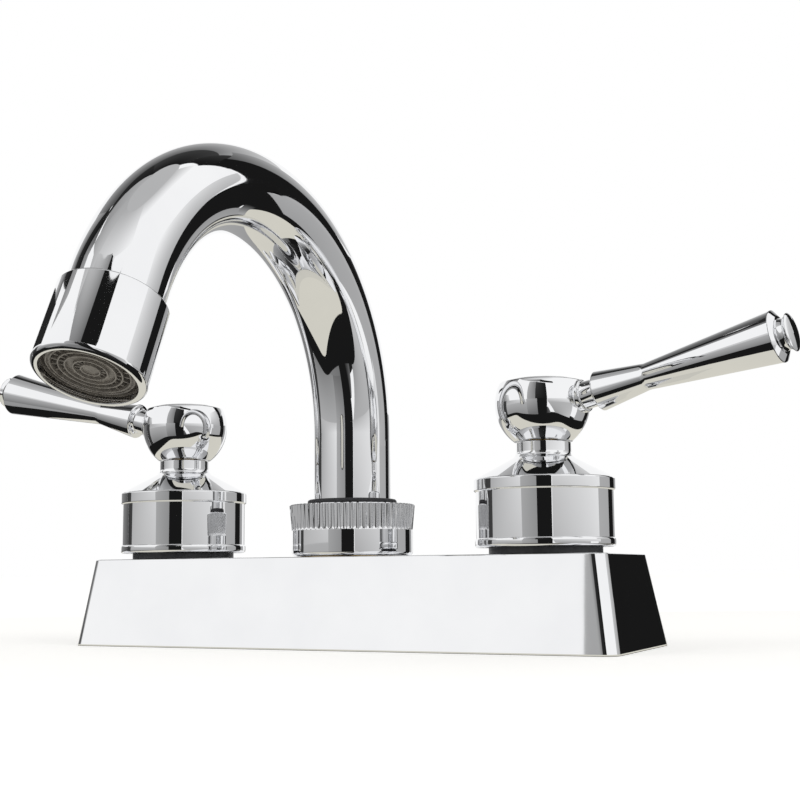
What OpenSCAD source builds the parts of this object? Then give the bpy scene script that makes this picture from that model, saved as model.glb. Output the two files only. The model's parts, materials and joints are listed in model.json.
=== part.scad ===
// Two-handle bathroom faucet on a three-hole deck cover, in millimetres.
// z = 0 is the top of the sink deck, the z axis is the spout's swivel axis,
// and the user stands on the -y side.

/* [Deck] */
// Distance between the two handle axes
handle_spacing = 101.6; // [95:0.1:120]
// Thickness of the sink deck that the faucet clamps
deck_t = 18; // [5:1:25]
// Length of the inlet shanks below the deck's top
shank_len = 46; // [42:1:60]
// Outer radius of the inlet shanks
shank_r = 10.48; // [10.45:0.01:10.6]
// Radius of the water way in each shank
inlet_r = 6; // [4:0.5:7]
// Outer radius of the shank's end, where the supply hose screws on
inlet_end_r = 10.2; // [8:0.05:10.4]
// Length of the shank's end
inlet_end_len = 12; // [8:0.5:14]

/* [Base cover] */
// Height of the cover
cover_h = 22; // [21:0.5:30]
// How far the cover's top runs past each handle axis
cover_top_over = 18.5; // [17.7:0.1:24]
// How far the cover's foot runs past each handle axis
cover_foot_over = 21.5; // [20:0.1:29]
// Top edge in front of the handle axes
front_top = 15.3; // [15:0.1:20]
// Bottom edge in front of the handle axes
front_foot = 18.3; // [18:0.1:26]
// Top edge behind the handle axes
back_top = 21.8; // [16:0.1:26]
// Bottom edge behind the handle axes
back_foot = 28.4; // [22:0.1:34]
// Radius of the upright corners
cover_corner = 3.5; // [2:0.1:6]
// Wall thickness of the cover
cover_wall = 1.6; // [1:0.1:1.8]
// Thickness of the seal under the cover
seal_t = 3.2; // [2:0.1:5]

/* [Valves] */
// Outer radius of the brass valve bodies
valve_r = 12; // [11:0.1:12.8]
// Height of the valve bodies above the cover
valve_rise = 11; // [9:0.5:13]
// Outer radius of the cartridges
cart_r = 8.8; // [8:0.1:9.2]
// Radius of the stems
stem_r = 3.9; // [3.2:0.1:4.2]
// Radius of the stem's splined end
spline_r = 3.4; // [2.8:0.1:3.6]
// Thickness of each ceramic disc
disc_t = 3; // [2:0.1:4]
// Thickness of the seat seal
seat_t = 1.5; // [1:0.1:2.5]
// Radius of the cross passages
passage_r = 4.5; // [3:0.1:5]

/* [Skirts] */
// Radius of the skirt
skirt_r = 16.1; // [15.5:0.1:18]
// Gap between the cover and the skirt
skirt_gap = 1.6; // [1:0.1:3]
// Height of the straight side, with its collar
skirt_h = 15.8; // [15:0.1:22]
// Height of the collar band at the top of the side
collar_h = 2.9; // [1.5:0.1:5]
// How far the collar stands out
collar_out = 0.45; // [0.2:0.05:1]
// Height of the bead at the foot
bead_h = 2; // [1:0.1:3]
// Height of the cone above the collar
cone_h = 5.4; // [4.5:0.1:8]
// Radius of the neck
neck_r = 6.5; // [6:0.1:8]
// Height of the neck
neck_h = 3.3; // [2:0.1:6]
// Fillet between the cone and the neck
neck_fillet = 0.9; // [0.3:0.1:1.4]

/* [Handles] */
// Radius of the ball-shaped hub
ball_r = 11.23; // [10.5:0.01:14]
// How far the hub's foot stands out past the neck
foot_out = 0.4; // [0.2:0.1:0.8]
// Height of the ball's flat top above its centre
ball_top = 5.2; // [5:0.1:6.2]
// Radius of the index cap in the ball's top
cap_r = 8.3; // [7:0.1:8.4]
// How far the index cap stands up
cap_rise = 0.9; // [0.3:0.1:2]
// Lever axis below the ball's centre
lever_drop = 1; // [0:0.1:1.5]
// Upward tilt of the left lever
left_tilt = 13.5; // [5:0.5:15]
// Upward tilt of the right lever
right_tilt = 10.5; // [5:0.5:15]
// Turn of the left lever towards the user at rest
left_turn = 2; // [0:1:20]
// Turn of the right lever towards the user at rest
right_turn = 11; // [0:1:20]
// Length of a lever from the ball's centre to its tip
lever_len = 64; // [60:0.5:80]
// Radius of the lever's neck beside the ball
lever_neck_r = 3.3; // [3:0.1:3.6]
// Distance from the ball's centre to the lever's root
root_s = 15.4; // [14:0.1:17]
// Radius of the lever's root
root_r = 4.75; // [4:0.05:6]
// Distance from the ball's centre to the lever's waist
waist_s = 27.6; // [24:0.1:32]
// Radius of the lever's waist
waist_r = 3.1; // [2.6:0.05:4]
// Radius of the lever's wide end
end_r = 5.8; // [5:0.05:7]
// Length of the shoulder, groove and button past the wide end
button_len = 5.9; // [5:0.1:8]
// Radius of the button at the lever's tip
button_r = 4.3; // [4:0.05:5]

/* [Spout] */
// Outer radius of the spout tube
tube_r = 9.65; // [9:0.05:10.5]
// Wall of the spout tube
tube_wall = 1.2; // [0.8:0.1:1.4]
// Height of the bend's centre above the cover
bend_rise = 30.3; // [24:0.1:60]
// Radius of the bend along the middle of the tube
bend_r = 49.5; // [47:0.1:60]
// Angle of the bend
bend_angle = 156; // [140:1:160]
// Straight length between the bend and the aerator housing
outlet_straight = 3.7; // [2:0.1:10]
// How much smaller the radius of the tube's tail inside the post is
tail_inset = 0.8; // [0.6:0.05:1.2]
// Length of the tail
tail_len = 11.5; // [10:0.1:12]
// Wall of the brass post that carries the spout
post_wall = 4.05; // [3.7:0.05:4.3]

/* [Spout nut] */
// Height of the knurled nut
nut_h = 12.7; // [11:0.1:18]
// Wall of the nut's smooth band
nut_wall = 1.95; // [1.6:0.05:3.5]
// How far the knurled band flares out
nut_flare = 0.6; // [0.3:0.05:1]
// Height of the knurled band
knurl_h = 6.4; // [4:0.1:8]
// Number of knurl grooves
knurl_count = 64; // [40:1:72]
// Thickness of the nut's top
nut_top_t = 1.7; // [1.2:0.1:2.5]
// Thickness of the black ring on the nut
ring_t = 1.3; // [0.8:0.1:2]
// Width of the black ring
ring_w = 1.4; // [1:0.1:2.5]

/* [Aerator] */
// Wall of the aerator housing
housing_wall = 1.1; // [1:0.05:2.5]
// Length of the aerator housing
housing_len = 16.9; // [15.5:0.1:22]
// Width of the lip round the opening in the housing's end
mouth_lip = 0.5; // [0.4:0.05:1]
// Thickness of the housing's end lip
lip_t = 1.5; // [1:0.1:2.5]
// How far the tube's threaded end reaches into the housing
tube_in = 7.5; // [5:0.1:8]
// Thickness of the insert's grille
grille_t = 1.6; // [1:0.1:2.5]
// Number of ribs in each of the two outer rings of the grille
outer_ribs = 24; // [12:1:32]
// Number of ribs in the inner ring of the grille
inner_ribs = 16; // [8:1:20]
// Thickness of a rib
rib_t = 0.35; // [0.2:0.05:0.5]

/* [Fits] */
// Radial clearance of turning pieces
run_gap = 0.1; // [0.05:0.01:0.12]
// Clearance between threaded pieces, in place of the thread's flanks
thread_gap = 0.15; // [0.1:0.05:0.2]
// Clearance of pieces that pass through or seat in another
pass_gap = 0.3; // [0.2:0.05:0.4]
// Open seam between the hub and the neck, and over the spout's shoulder
seam_gap = 0.2; // [0.1:0.05:0.3]

/* [Hidden] */
$fn = 96;

CHROME = [0.86, 0.87, 0.89];
BRASS = [0.78, 0.62, 0.32];
RUBBER = [0.08, 0.08, 0.09];
PLASTIC = [0.3, 0.29, 0.27];
CERAMIC = [0.93, 0.92, 0.88];
STEEL = [0.7, 0.71, 0.72];

// Small amount by which a cut runs past the face it opens
e = 0.5;
// Height of the thin slices that a tapered block is stretched between
slice = 0.01;
handle_x = handle_spacing / 2;
cover_top_w = handle_spacing + 2 * cover_top_over;
cover_foot_w = handle_spacing + 2 * cover_foot_over;

// Heights of the waterway and the cartridges
floor_t = 5.6;
seat_z = seal_t + floor_t;
valve_top = cover_h + valve_rise;
valve_bore = cart_r + run_gap;
cross_wall = 1.5;
cross_rise = 3.7;
cross_z = seat_z + cross_rise;
cross_r = passage_r + cross_wall;
cart_wall = 2.5;
disc_r = cart_r - cart_wall;
seal_lip = 1.5;
fixed_z = seat_z + seat_t;
moving_z = fixed_z + disc_t;
flange_z = moving_z + disc_t;
flange_t = 2.4;
chamber_top = flange_z + flange_t + pass_gap;
cart_flange_t = 1;
cart_flange_in = 0.5;
hex_out = 1;
hex_r = cart_r + hex_out;
hex_h = 3.7;
cart_top = valve_top + cart_flange_t + hex_h;
window_w = 5;
stem_groove_z = valve_top - 4;

// Heights of the skirts and hubs
skirt_z = cover_h + skirt_gap;
collar_top = skirt_z + skirt_h;
collar_z = collar_top - collar_h;
cone_top = collar_top + cone_h;
neck_top = cone_top + neck_h;
collar_r = skirt_r + collar_out;
cover_nut_wall = 1.1;
cover_nut_r = valve_r + thread_gap + cover_nut_wall;
mouth_gap = 1;
mouth_r = cover_nut_r + mouth_gap;
mouth_h = bead_h + 1.5;
roof_t = 1;
bead_in = 0.3;
bead_r = 0.4 * bead_h;
skirt_edge = 0.3;
stem_hole_r = stem_r + pass_gap;
hub_z = neck_top + seam_gap;
hub_foot_r = neck_r + foot_out;
ball_z = hub_z + sqrt(ball_r ^ 2 - hub_foot_r ^ 2);
ball_flat_z = ball_z + ball_top;
lever_z = ball_z - lever_drop;
screw_r = 1.5;
screw_len = 9;
screw_hole_l = 10;
web_drop = 1.2;
web_z = ball_z - web_drop;
web_t = 1.6;
counterbore_r = 4.4;
head_r = 3.2;
head_h = 2.4;
key_r = 1.5;
key_depth = 1.4;
cap_seat = 1.4;
press_gap = 0.05;
socket_r = spline_r + press_gap;

// Lever, measured from the ball's centre along its axis
stub_r = 2.5;
stub_s = 6;
seat_s = 10.4;
lever_collar_out = 0.6;
lever_collar_r = lever_neck_r + lever_collar_out;
lever_collar_t = 1.3;
lever_edge = 0.4;
wide_s = lever_len - button_len;
shoulder_t = 1.3;
shoulder_s = wide_s + shoulder_t;
groove_depth = 0.7;
groove_r = button_r - groove_depth;
button_dome = 2.4;
button_s = lever_len - button_dome;

// Heights of the spout
tail_r = tube_r - tail_inset;
post_bore = tail_r + run_gap;
post_r = post_bore + post_wall;
nut_bore = post_r + thread_gap;
nut_r = nut_bore + nut_wall;
nut_z = cover_h + seam_gap;
nut_top = nut_z + nut_h;
retainer_h = 1.8;
retainer_w = 2;
retainer_r = tube_r + retainer_w;
tube_foot = nut_top - nut_top_t - seam_gap - retainer_h;
post_top = tube_foot - seam_gap;
tail_foot = tube_foot - tail_len;
bend_z = cover_h + bend_rise;
tail_step = 0.6;
bore_r = tail_r - tube_wall - tail_step;
tube_bore = tube_r - tube_wall;
shoulder_wall = 2;
seal_section = 0.75;
seal_1_up = 3;
seal_2_up = 6.5;
bend_lap = 0.5;
hair = 0.02;
nut_edge = 1;
knurl_edge = 0.2;

// Aerator, measured from the end of the bend along the outlet
housing_s = outlet_straight;
housing_end = housing_s + housing_len;
housing_bore = tube_r + thread_gap;
housing_r = housing_bore + housing_wall;
opening_r = housing_bore - mouth_lip;
tube_end = housing_s + tube_in;
insert_end = housing_end - lip_t;
grille_s = insert_end - grille_t;
mouth_round = 1;
housing_edge = 0.4;
washer_t = 1.5;
washer_in = 0.6;
body_s = tube_end + washer_t;
insert_r = housing_bore - thread_gap;
cup_wall = 1.2;
screen_t = 0.4;
grille_ring_w = 0.3;
rib_drop = 0.5;
band_drop = 0.25;
rim_groove = 1.2;

// Mounting hardware under the deck
washer_r = 16;
mount_washer_t = 2;
nut_flange_r = 14.5;
wing_r = 21;
wing_t = 3;
mount_nut_h = 9;
wing_step = 2;
mount_hole_r = shank_r + pass_gap;

// Point at distance r and angle a from a centre
function polar(c, r, a) = [c[0] + r * cos(a), c[1] + r * sin(a)];

// Points along an arc, from angle a0 to angle a1 in n steps
function arc(c, r, a0, a1, n) = [for (i = [0:n]) polar(c, r, a0 + (a1 - a0) * i / n)];

// Outline of the cover at one height, drawn as four thin corner discs
module cover_slice(z, w, front, back, inset) {
    r = max(cover_corner - inset, 0.5);
    for (x = [-1, 1], y = [-front + inset + r, back - inset - r])
        translate([x * (w / 2 - inset - r), y, z]) cylinder(r = r, h = slice, $fn = 32);
}

// Width and depth of the cover at height z, from its foot to its top
function cover_w(z) = cover_foot_w + (cover_top_w - cover_foot_w) * z / cover_h;
function front_at(z) = front_foot + (front_top - front_foot) * z / cover_h;
function back_at(z) = back_foot + (back_top - back_foot) * z / cover_h;

// Tapered block with the cover's form, from height z0 to z1, set in by a wall
module cover_block(z0, z1, inset) {
    hull() {
        cover_slice(z0, cover_w(z0), front_at(z0), back_at(z0), inset);
        cover_slice(z1 - slice, cover_w(z1), front_at(z1), back_at(z1), inset);
    }
}

// Places a child on both handle axes
module both_sides() {
    for (side = [-1, 1]) translate([side * handle_x, 0, 0]) children();
}

// Places a child on one handle axis: -1 is the left one, 1 the right one
module on_axis(side) {
    translate([side * handle_x, 0, 0]) children();
}

// Ring about the z axis between two radii, from height z0 to z1
module ring(r_in, r_out, z0, z1) {
    translate([0, 0, z0]) difference() {
        cylinder(r = r_out, h = z1 - z0);
        translate([0, 0, -e]) cylinder(r = r_in, h = z1 - z0 + 2 * e);
    }
}

// Cast cover over the waterway: an open box with three round holes in its top
module base_cover() {
    color(CHROME) difference() {
        cover_block(0, cover_h, 0);
        cover_block(-e, cover_h - cover_wall, cover_wall);
        both_sides() translate([0, 0, cover_h / 2]) cylinder(r = valve_r + pass_gap, h = cover_h);
        translate([0, 0, cover_h / 2]) cylinder(r = post_r + pass_gap, h = cover_h);
    }
}

// Soft seal that fills the cover's open foot and lies on the deck
module base_seal() {
    color(RUBBER) difference() {
        cover_block(0, seal_t, cover_wall + pass_gap);
        both_sides() translate([0, 0, -e]) cylinder(r = mount_hole_r, h = seal_t + 2 * e);
    }
}

// One brass casting: two valve bodies on threaded shanks, joined to the spout's post
module waterway() {
    color(BRASS) difference() {
        union() {
            both_sides() {
                translate([0, 0, seal_t]) cylinder(r = valve_r, h = valve_top - seal_t);
                translate([0, 0, -shank_len]) cylinder(r = inlet_end_r, h = inlet_end_len + e);
                translate([0, 0, inlet_end_len - shank_len])
                    cylinder(r = shank_r, h = shank_len - inlet_end_len + seal_t + e);
            }
            translate([0, 0, seal_t]) cylinder(r = post_r, h = post_top - seal_t);
            translate([-handle_x, 0, cross_z]) rotate([0, 90, 0]) cylinder(r = cross_r, h = handle_spacing);
        }
        both_sides() {
            translate([0, 0, seat_z]) cylinder(r = valve_bore, h = valve_top);
            translate([0, 0, -shank_len - e]) cylinder(r = inlet_r, h = shank_len + seat_z + 2 * e);
        }
        translate([0, 0, cross_z]) cylinder(r = post_bore, h = post_top);
        translate([-handle_x, 0, cross_z]) rotate([0, 90, 0]) cylinder(r = passage_r, h = handle_spacing);
    }
}

// Flat washers that bear on the deck's underside
module mounting_washers() {
    color(STEEL) both_sides() ring(mount_hole_r, washer_r, -deck_t - mount_washer_t, -deck_t);
}

// Wing nuts that clamp the faucet to the deck from below
module mounting_nuts() {
    top = -deck_t - mount_washer_t;
    color(PLASTIC) both_sides() difference() {
        union() {
            translate([0, 0, top - mount_nut_h]) cylinder(r = nut_flange_r, h = mount_nut_h);
            for (a = [0:90:270]) rotate([0, 0, a])
                translate([0, -wing_t / 2, top - mount_nut_h])
                    cube([wing_r, wing_t, mount_nut_h - wing_step]);
        }
        translate([0, 0, top - mount_nut_h - e]) cylinder(r = shank_r + thread_gap, h = mount_nut_h + 2 * e);
    }
}

// Dark ring nut that holds the cover down on the valve body
module cover_nut(side) {
    color(PLASTIC) on_axis(side)
        ring(valve_r + thread_gap, cover_nut_r, cover_h, skirt_z + bead_h);
}

// Bell-shaped skirt over the cartridge, with a bead, a collar band and a neck
module skirt(side) {
    bore = valve_r + thread_gap;
    inner_top = collar_top - roof_t;
    outline = concat(
        [[0, skirt_z], [skirt_r - bead_in, skirt_z]],
        arc([skirt_r - bead_in, skirt_z + bead_h / 2], bead_r, -60, 60, 6),
        [[skirt_r, skirt_z + bead_h], [skirt_r, collar_z]],
        [[collar_r, collar_z + skirt_edge], [collar_r, collar_top - skirt_edge]],
        [[collar_r - skirt_edge, collar_top]],
        arc([neck_r + neck_fillet, cone_top + neck_fillet / 2], neck_fillet, 240, 180, 5),
        [[neck_r, neck_top - skirt_edge], [neck_r - skirt_edge, neck_top], [0, neck_top]]
    );
    hollow = [
        [0, skirt_z - e], [mouth_r, skirt_z - e], [mouth_r, skirt_z + mouth_h],
        [bore, skirt_z + mouth_h + mouth_gap], [bore, inner_top],
        [stem_hole_r, inner_top + cone_h * 0.75], [stem_hole_r, neck_top + e], [0, neck_top + e]
    ];
    color(CHROME) on_axis(side) rotate_extrude() difference() {
        polygon(outline);
        polygon(hollow);
    }
}

// Brass cartridge body, screwed into the valve body by its hexagon
module cartridge(side) {
    color(BRASS) on_axis(side) difference() {
        union() {
            translate([0, 0, seat_z]) cylinder(r = cart_r, h = valve_top - seat_z + e);
            translate([0, 0, valve_top]) cylinder(r = valve_r - cart_flange_in, h = cart_flange_t);
            translate([0, 0, valve_top + cart_flange_t]) cylinder(r = hex_r, h = hex_h, $fn = 6);
        }
        translate([0, 0, seat_z - e]) cylinder(r = disc_r + run_gap, h = chamber_top - seat_z + e);
        translate([0, 0, seat_z]) cylinder(r = stem_r + run_gap, h = cart_top);
        translate([-cart_r - e, -window_w / 2, moving_z]) cube([2 * cart_r + 2 * e, window_w, disc_t]);
    }
}

// Rubber seal under the fixed disc
module seat_seal(side) {
    color(RUBBER) on_axis(side) ring(inlet_r - seal_lip, disc_r, seat_z, fixed_z);
}

// Ceramic disc with two water ports
module ceramic_disc(side, z, turn) {
    color(CERAMIC) on_axis(side) rotate([0, 0, turn]) difference() {
        translate([0, 0, z]) cylinder(r = disc_r, h = disc_t);
        for (y = [-1, 1]) translate([0, y * disc_r / 2, z - e]) cylinder(r = disc_r / 4, h = disc_t + 2 * e);
    }
}

// Stem that turns the moving disc: a flange, a round shaft and a splined end
module stem(side) {
    shaft_z = flange_z + flange_t;
    color(BRASS) on_axis(side) difference() {
        union() {
            translate([0, 0, flange_z]) cylinder(r = disc_r - run_gap, h = flange_t);
            translate([0, 0, shaft_z]) cylinder(r = stem_r, h = hub_z - seam_gap - shaft_z);
            translate([0, 0, shaft_z]) cylinder(r = spline_r, h = web_z - shaft_z);
        }
        translate([0, 0, web_z - screw_hole_l]) cylinder(r = screw_r, h = screw_hole_l + e);
        stem_groove();
    }
}

// Groove for the stem's seal ring
module stem_groove() {
    rotate_extrude() translate([stem_r - seal_section, stem_groove_z])
        square([2 * seal_section, 2 * seal_section]);
}

// Seal ring in the stem's groove
module stem_seal(side) {
    color(RUBBER) on_axis(side) rotate_extrude()
        translate([stem_r - seal_section / 2, stem_groove_z + seal_section])
            circle(r = seal_section / 2, $fn = 24);
}

// Moves a child from the origin to the lever's axis, with +x along the lever
module along_lever(side) {
    turn = side < 0 ? 180 + left_turn : -right_turn;
    tilt = side < 0 ? left_tilt : right_tilt;
    translate([side * handle_x, 0, lever_z]) rotate([0, 0, turn]) rotate([0, -tilt, 0]) children();
}

// Ball-shaped hub with a flat top, a socket for the stem and a seat for the lever
module hub(side) {
    color(CHROME) difference() {
        on_axis(side) intersection() {
            translate([0, 0, ball_z]) sphere(r = ball_r);
            translate([0, 0, hub_z]) cylinder(r = ball_r + e, h = ball_flat_z - hub_z);
        }
        on_axis(side) {
            translate([0, 0, hub_z - e]) cylinder(r = socket_r, h = web_z - hub_z + e);
            cylinder(r = screw_r + seam_gap, h = ball_flat_z);
            translate([0, 0, web_z + web_t]) cylinder(r = counterbore_r, h = ball_top + e);
            translate([0, 0, ball_flat_z - cap_seat]) cylinder(r = cap_r + run_gap, h = cap_seat + e);
        }
        along_lever(side) rotate([0, 90, 0]) {
            translate([0, 0, stub_s - seam_gap]) cylinder(r = stub_r, h = ball_r);
            translate([0, 0, seat_s]) cylinder(r = lever_collar_r + seam_gap, h = ball_r);
        }
    }
}

// Screw that holds the hub on the stem, with a hexagon socket
module handle_screw(side) {
    head_z = web_z + web_t;
    color(STEEL) on_axis(side) difference() {
        union() {
            translate([0, 0, head_z - screw_len]) cylinder(r = screw_r - press_gap, h = screw_len + e);
            translate([0, 0, head_z]) cylinder(r = head_r, h = head_h);
        }
        translate([0, 0, head_z + head_h - key_depth]) cylinder(r = key_r, h = key_depth + e, $fn = 6);
    }
}

// Domed cap pressed into the ball's top, bare of any mark
module index_cap(side) {
    cap_z = ball_flat_z - cap_seat;
    dome_r = (cap_r ^ 2 + cap_rise ^ 2) / (2 * cap_rise);
    half = asin(cap_r / dome_r);
    outline = concat(
        [[0, cap_z], [cap_r, cap_z]],
        [[cap_r, ball_flat_z + cap_rise / 3]],
        [for (p = arc([0, ball_flat_z + cap_rise - dome_r], dome_r, 90 - 0.9 * half, 90, 8))
            [max(p[0], 0), p[1]]]
    );
    color(CHROME) on_axis(side) rotate_extrude() polygon(outline);
}

// Turned lever: a threaded stub, a collar and neck, a waisted grip and a button
module lever(side) {
    outline = concat(
        [[0, stub_s], [stub_r - press_gap, stub_s], [stub_r - press_gap, seat_s], [lever_collar_r, seat_s]],
        [[lever_collar_r, seat_s + lever_collar_t], [lever_neck_r, seat_s + lever_collar_t]],
        [[lever_neck_r, root_s - lever_edge], [lever_neck_r + lever_edge, root_s]],
        arc([root_r - lever_edge, root_s + lever_edge], lever_edge, -90, 0, 4),
        [[waist_r, waist_s]],
        arc([end_r - lever_edge, wide_s], lever_edge, 0, 40, 3),
        [[button_r - press_gap, shoulder_s], [groove_r, shoulder_s], [groove_r, button_s - 2 * lever_edge]],
        [[button_r, button_s - lever_edge / 2]],
        [for (i = [1:6]) [button_r * cos(15 * i), button_s + button_dome * sin(15 * i)]]
    );
    color(CHROME) along_lever(side) rotate([0, 90, 0]) rotate_extrude() polygon(outline);
}

// Moves a child from the origin to the end of the spout's bend, with +z along the outlet
module at_outlet() {
    translate([0, -bend_r, bend_z]) rotate([bend_angle, 0, 0]) translate([0, bend_r, 0]) children();
}

// Solid of radius r along the spout's middle line, from height z0 to past the bend by s.
// The last straight starts a little inside the bend, a hair thinner than it.
module spout_path(r, z0, s) {
    translate([0, 0, z0]) cylinder(r = r, h = bend_z - z0);
    translate([0, -bend_r, bend_z]) rotate([90, 0, 90])
        rotate_extrude(angle = bend_angle) translate([bend_r, 0]) circle(r = r);
    at_outlet() translate([0, 0, -bend_lap]) cylinder(r = r - hair, h = s + bend_lap);
}

// Bent brass tube with a turned-down tail that swivels in the post
module spout_tube() {
    color(CHROME) difference() {
        union() {
            spout_path(tube_r, tube_foot, tube_end);
            translate([0, 0, tail_foot]) cylinder(r = tail_r, h = tail_len + e);
        }
        spout_path(tube_bore, tube_foot + shoulder_wall, tube_end + e);
        translate([0, 0, tail_foot - e]) cylinder(r = bore_r, h = tail_len + shoulder_wall + 2 * e);
        for (z = seal_heights()) rotate_extrude() translate([tail_r - seal_section, z - seal_section])
            square([2 * seal_section, 2 * seal_section]);
    }
}

// Heights of the two seal rings on the tail
function seal_heights() = [tail_foot + seal_1_up, tail_foot + seal_2_up];

// Split ring that holds the tube down under the nut's top
module spout_retainer() {
    color(PLASTIC) ring(tube_r, retainer_r, tube_foot, tube_foot + retainer_h);
}

// Two seal rings on the spout's tail
module spout_seals() {
    color(RUBBER) for (z = seal_heights()) rotate_extrude()
        translate([tail_r - seal_section / 2, z]) circle(r = seal_section / 2, $fn = 24);
}

// Nut with a smooth band below and a flared, knurled band above
module spout_nut() {
    knurl_z = nut_top - knurl_h;
    pitch = 360 * (nut_r + nut_flare) / knurl_count * PI / 180;
    groove = pitch * 0.46;
    color(CHROME) difference() {
        union() {
            rotate_extrude() polygon(concat(
                [[0, nut_z]],
                arc([nut_r - nut_edge, nut_z + nut_edge], nut_edge, -90, 0, 5),
                [[nut_r, knurl_z], [0, knurl_z]]
            ));
            intersection() {
                rotate_extrude() polygon([
                    [0, knurl_z], [nut_r, knurl_z], [nut_r + nut_flare, nut_top - knurl_edge],
                    [nut_r + nut_flare - knurl_edge, nut_top], [0, nut_top]
                ]);
                translate([0, 0, knurl_z]) linear_extrude(knurl_h) difference() {
                    circle(r = nut_r + nut_flare + e);
                    for (i = [0:knurl_count - 1]) rotate(i * 360 / knurl_count)
                        translate([nut_r + groove, 0]) circle(r = groove, $fn = 24);
                }
            }
        }
        translate([0, 0, nut_z - e]) cylinder(r = nut_bore, h = nut_h - nut_top_t + e);
        cylinder(r = tube_r + pass_gap, h = nut_top + e);
    }
}

// Black ring round the tube on top of the nut
module spout_ring() {
    r_in = tube_r + run_gap;
    color(RUBBER) rotate_extrude() union() {
        translate([r_in, nut_top]) square([ring_w - ring_t / 2, ring_t]);
        translate([r_in + ring_w - ring_t / 2, nut_top + ring_t / 2]) circle(r = ring_t / 2, $fn = 24);
    }
}

// Turned cap on the tube's end, with a rounded mouth and an inner lip
module aerator_housing() {
    outline = concat(
        [[housing_bore, housing_s], [housing_r - housing_edge, housing_s]],
        [[housing_r, housing_s + housing_edge]],
        arc([housing_r - mouth_round, housing_end - mouth_round], mouth_round, 0, 90, 5),
        [[opening_r, housing_end], [opening_r, insert_end], [housing_bore, insert_end]]
    );
    color(CHROME) at_outlet() rotate_extrude() polygon(outline);
}

// Rubber washer between the tube's end and the aerator insert
module aerator_washer() {
    color(RUBBER) at_outlet() ring(tube_bore - washer_in, tube_r - run_gap, tube_end, body_s);
}

// Plastic cup that holds the screen behind the grille
module aerator_body() {
    color(PLASTIC) at_outlet() difference() {
        ring(insert_r - cup_wall, insert_r, body_s, grille_s);
        translate([0, 0, grille_s - screen_t]) cylinder(r = insert_r - cup_wall / 2, h = screen_t + e);
    }
}

// Wire screen on the cup's inner step
module aerator_screen() {
    color(STEEL) at_outlet() translate([0, 0, grille_s - screen_t])
        cylinder(r = insert_r - cup_wall / 2, h = screen_t);
}

// One set of radial ribs between two radii
module ribs(count, r_in, r_out, turn) {
    for (i = [0:count - 1]) rotate((i + turn) * 360 / count)
        translate([r_in, -rib_t / 2]) square([r_out - r_in, rib_t]);
}

// Moulded grille seen through the mouth: six thin rings joined by radial ribs round a hub
module aerator_grille() {
    r = [for (k = [0.2, 0.35, 0.51, 0.64, 0.8, 0.87]) k * insert_r];
    color(PLASTIC) at_outlet() translate([0, 0, grille_s]) {
        linear_extrude(grille_t) {
            for (q = r) difference() {
                circle(r = q);
                circle(r = q - grille_ring_w);
            }
            difference() {
                circle(r = insert_r);
                circle(r = opening_r);
            }
        }
        linear_extrude(grille_t - rim_groove) difference() {
            circle(r = insert_r);
            circle(r = r[5] - grille_ring_w);
        }
        linear_extrude(grille_t - band_drop) {
            circle(r = r[0]);
            difference() {
                circle(r = r[5]);
                circle(r = r[4] - grille_ring_w);
            }
        }
        linear_extrude(grille_t - rib_drop) {
            ribs(outer_ribs, r[2] - grille_ring_w, r[4], 0.5);
            ribs(inner_ribs, r[0] - grille_ring_w, r[1], 0);
            difference() {
                circle(r = r[2]);
                circle(r = r[1] - grille_ring_w);
            }
        }
    }
}

base_cover();
base_seal();
waterway();
mounting_washers();
mounting_nuts();
cover_nut(-1);  // left_cover_nut
skirt(-1);  // left_skirt
cartridge(-1);  // left_cartridge
seat_seal(-1);  // left_seat_seal
ceramic_disc(-1, fixed_z, 0);  // left_fixed_disc
ceramic_disc(-1, moving_z, 90);  // left_moving_disc
stem(-1);  // left_stem
stem_seal(-1);  // left_stem_seal
hub(-1);  // left_hub
handle_screw(-1);  // left_handle_screw
index_cap(-1);  // left_index_cap
lever(-1);  // left_lever
cover_nut(1);  // right_cover_nut
skirt(1);  // right_skirt
cartridge(1);  // right_cartridge
seat_seal(1);  // right_seat_seal
ceramic_disc(1, fixed_z, 0);  // right_fixed_disc
ceramic_disc(1, moving_z, 90);  // right_moving_disc
stem(1);  // right_stem
stem_seal(1);  // right_stem_seal
hub(1);  // right_hub
handle_screw(1);  // right_handle_screw
index_cap(1);  // right_index_cap
lever(1);  // right_lever
spout_tube();
spout_retainer();
spout_seals();
spout_nut();
spout_ring();
aerator_housing();
aerator_washer();
aerator_body();
aerator_screen();
aerator_grille();
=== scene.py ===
import json
import math

import bmesh
import bpy
from mathutils import Matrix, Vector


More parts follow.
